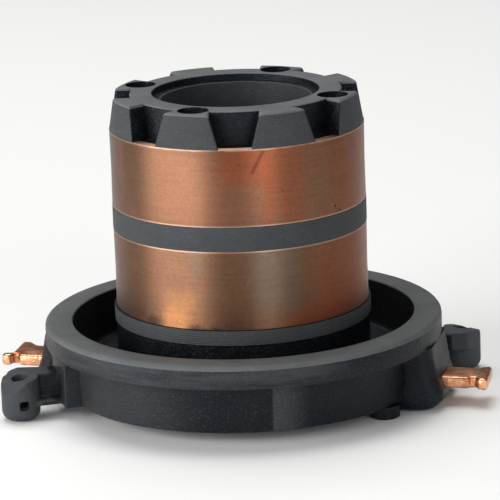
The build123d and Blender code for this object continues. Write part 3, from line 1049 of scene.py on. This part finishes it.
class SlipringLugs(bpy.types.Operator):
    """Build the two guide lugs of the moulding"""

    bl_idname = "slipring.lugs"
    bl_label = "Guide lugs"

    def fuse(self, lug, s):
        """Makes one skin of the lug's shells, with edges softened over a few cells."""
        skin = lug.modifiers.new("fuse", "REMESH")
        skin.mode = "VOXEL"
        skin.voxel_size = s.grain / MM
        soften = lug.modifiers.new("soften", "SMOOTH")
        soften.factor = 0.5
        soften.iterations = 4
        settle(lug)

    def execute(self, context):
        s = context.scene.slipring_lug
        m = context.scene.slipring_moulding
        for name, half_turn in (("guide_lug_right", 0), ("guide_lug_left", 180)):
            lug = to_mesh(name, lug_shells(s, m))
            self.fuse(lug, s)
            # The window's outline stands in X and Z, and is carried along Y
            w, h = s.window_width / 2, s.window_height
            hole = rectangle(s.hole_circle_r - w, s.hole_circle_r + w, s.window_sill,
                             s.window_sill + h, 0.35)
            window = slab(hole, 0.0, 2 * s.boss_r, 0.05)[..., [0, 2, 1]]
            cut(lug, to_mesh("window_cutter", [capped(window)]))
            centre = (s.hole_circle_r, 0.0)
            guide = cylinder(s.hole_r, -s.hole_r, s.height + s.hole_r, centre)
            cut(lug, to_mesh("guide_hole_cutter", [capped(guide)]))
            cut(lug, to_mesh("slope_cutter", [capped(slope_cutter(s))]))
            self.fuse(lug, s)
            points = np.empty(len(lug.data.vertices) * 3)
            lug.data.vertices.foreach_get("co", points)
            lug.data.vertices.foreach_set(
                "co", spun(points.reshape(-1, 3), s.angle + half_turn).ravel()
            )
            tidy(lug, 50.0)
            dress(lug, shared("phenolic_moulding", phenolic, m), "moulding", "moulded_body")
        return {"FINISHED"}


class SlipringTracks(bpy.types.Operator):
    """Build the two turned copper rings"""

    bl_idname = "slipring.tracks"
    bl_label = "Copper rings"

    def execute(self, context):
        s = context.scene.slipring_rings
        inner = RING_R - s.wall
        for name, low, high in (
            ("upper_track", UPPER_LOW, UPPER_HIGH),
            ("lower_track", LOWER_LOW, LOWER_HIGH),
        ):
            low, high, middle = low + s.gap, high - s.gap, (low + high) / 2
            corners = [
                (inner, low + s.anchor, 0),
                (inner + s.anchor, low, 0),
                (RING_R - s.edge, low, 0.02),
                (RING_R, low + s.edge, 0.02),
                (RING_R - s.wear, middle, 60.0),  # one wide arc, worn by the brushes
                (RING_R, high - s.edge, 0.02),
                (RING_R - s.edge, high, 0.02),
                (inner + s.anchor, high, 0),
                (inner, high - s.anchor, 0),
            ]
            track = to_mesh(name, [tube(turned(rounded(corners, 9)))])
            material = shared("turned_copper_track", worn_copper, s)
            dress(track, material, "ring_copper", name.replace("track", "ring"))
        return {"FINISHED"}


class SlipringStrips(bpy.types.Operator):
    """Build the two copper lead strips with their terminals"""

    bl_idname = "slipring.strips"
    bl_label = "Lead strips"

    def execute(self, context):
        s = context.scene.slipring_leads
        for name, tip, low, high, under, half_turn in (
            ("upper_ring_strip", waisted_tip(s), UPPER_LOW, UPPER_HIGH, s.under, 0),
            ("lower_ring_strip", eared_tip(s), LOWER_LOW, LOWER_HIGH, s.under + s.lift, 180),
        ):
            run = carried(strip_outline(s), strip_path(s, low, high, under))
            plate = slab(tip, under, under + s.thickness, s.tip_rounding)
            shells = [capped(spun(run, half_turn)), capped(spun(plate, half_turn))]
            strip = to_mesh(name, shells)
            material = shared("rolled_copper_strip", bright_copper, s)
            dress(strip, material, "lead_copper", name.replace("strip", "lead"))
        return {"FINISHED"}


class SlipringStudio(bpy.types.Operator):
    """Build the paper, the lights and the camera"""

    bl_idname = "slipring.studio"
    bl_label = "Studio"

    def execute(self, context):
        s = context.scene.slipring_stage
        scene = context.scene
        half = 900.0
        corners = np.array([(-half, -half, 0), (half, -half, 0), (half, half, 0), (-half, half, 0)])
        floor = to_mesh("floor", [(corners, [[0, 1, 2, 3]])])
        floor.data.materials.append(shared("background_paper", paper, s))
        world = bpy.data.worlds.new("studio")
        world.use_nodes = True
        background = world.node_tree.nodes["Background"]
        feed(world.node_tree, background, {"Color": (1, 1, 1, 1), "Strength": s.sky})
        scene.world = world
        for name, degrees, rise, distance, width, height in LAMPS:
            place = self.around(s, degrees, rise, distance)
            self.lamp(name, getattr(s, name), place, width, height)
        self.camera(scene, s)
        scene.view_settings.view_transform = "Standard"
        return {"FINISHED"}

    def around(self, s, degrees, rise, distance):
        """Place at so many degrees to the right of the camera, and above the horizon."""
        turned_to, lift = math.radians(s.azimuth - 90 + degrees), math.radians(rise)
        flat = math.cos(lift)
        way = Vector((flat * math.cos(turned_to), flat * math.sin(turned_to), math.sin(lift)))
        return way * (distance / MM)

    def lamp(self, name, watts, place, width, height):
        """A rectangular soft light that faces the middle of the part."""
        light = bpy.data.lights.new(name, "AREA")
        light.energy = watts
        light.shape = "RECTANGLE"
        light.size = width
        light.size_y = height
        lamp = bpy.data.objects.new(name, light)
        lamp.location = place
        aim = Vector((0, 0, 0.02)) - lamp.location
        lamp.rotation_euler = aim.to_track_quat("-Z", "Y").to_euler()
        bpy.context.scene.collection.objects.link(lamp)

    def camera(self, scene, s):
        """Camera that looks from an azimuth and elevation, rolled about its own axis."""
        azimuth, rise, roll = (math.radians(a) for a in (s.azimuth, s.elevation, s.roll))
        level = Vector((math.cos(azimuth), math.sin(azimuth), 0))
        back = Vector((math.sin(azimuth) * math.cos(rise), -math.cos(azimuth) * math.cos(rise),
                       math.sin(rise)))
        raised = back.cross(level)
        right = level * math.cos(roll) - raised * math.sin(roll)
        up = level * math.sin(roll) + raised * math.cos(roll)
        place = Vector((0, 0, s.aim_height)) + back * s.distance
        place += right * s.aside - up * s.below
        data = bpy.data.cameras.new("camera")
        data.lens = s.lens
        data.sensor_width = 36
        data.clip_start = 0.01
        data.clip_end = 10
        camera = bpy.data.objects.new("camera", data)
        rotation = Matrix((right, up, back)).transposed().to_4x4()
        camera.matrix_world = Matrix.Translation(place / MM) @ rotation
        scene.collection.objects.link(camera)
        scene.camera = camera


class SlipringPanel(bpy.types.Panel):
    """Sidebar panel that lists the pieces and their settings"""

    bl_idname = "VIEW3D_PT_slipring"
    bl_label = "Slip ring unit"
    bl_space_type = "VIEW_3D"
    bl_region_type = "UI"
    bl_category = "Slip ring"

    def draw(self, context):
        for operator in OPERATORS:
            self.layout.operator(operator.bl_idname)
        for group in GROUPS:
            box = self.layout.box()
            settings = getattr(context.scene, group)
            for key in settings.bl_rna.properties.keys():
                if key not in ("rna_type", "name"):
                    box.prop(settings, key)


GROUPS = {
    "slipring_moulding": SlipringMoulding,
    "slipring_lug": SlipringLug,
    "slipring_rings": SlipringRings,
    "slipring_leads": SlipringLeads,
    "slipring_stage": SlipringStage,
}
OPERATORS = (
    SlipringHub,
    SlipringBlocks,
    SlipringLugs,
    SlipringTracks,
    SlipringStrips,
    SlipringStudio,
)


def register():
    for item in (*GROUPS.values(), *OPERATORS, SlipringPanel):
        bpy.utils.register_class(item)
    for name, group in GROUPS.items():
        setattr(bpy.types.Scene, name, bpy.props.PointerProperty(type=group))


def unregister():
    for name in GROUPS:
        delattr(bpy.types.Scene, name)
    for item in reversed((*GROUPS.values(), *OPERATORS, SlipringPanel)):
        bpy.utils.unregister_class(item)


def main():
    register()
    for operator in OPERATORS:
        group, name = operator.bl_idname.split(".")
        getattr(getattr(bpy.ops, group), name)()


if __name__ == "__main__":
    main()
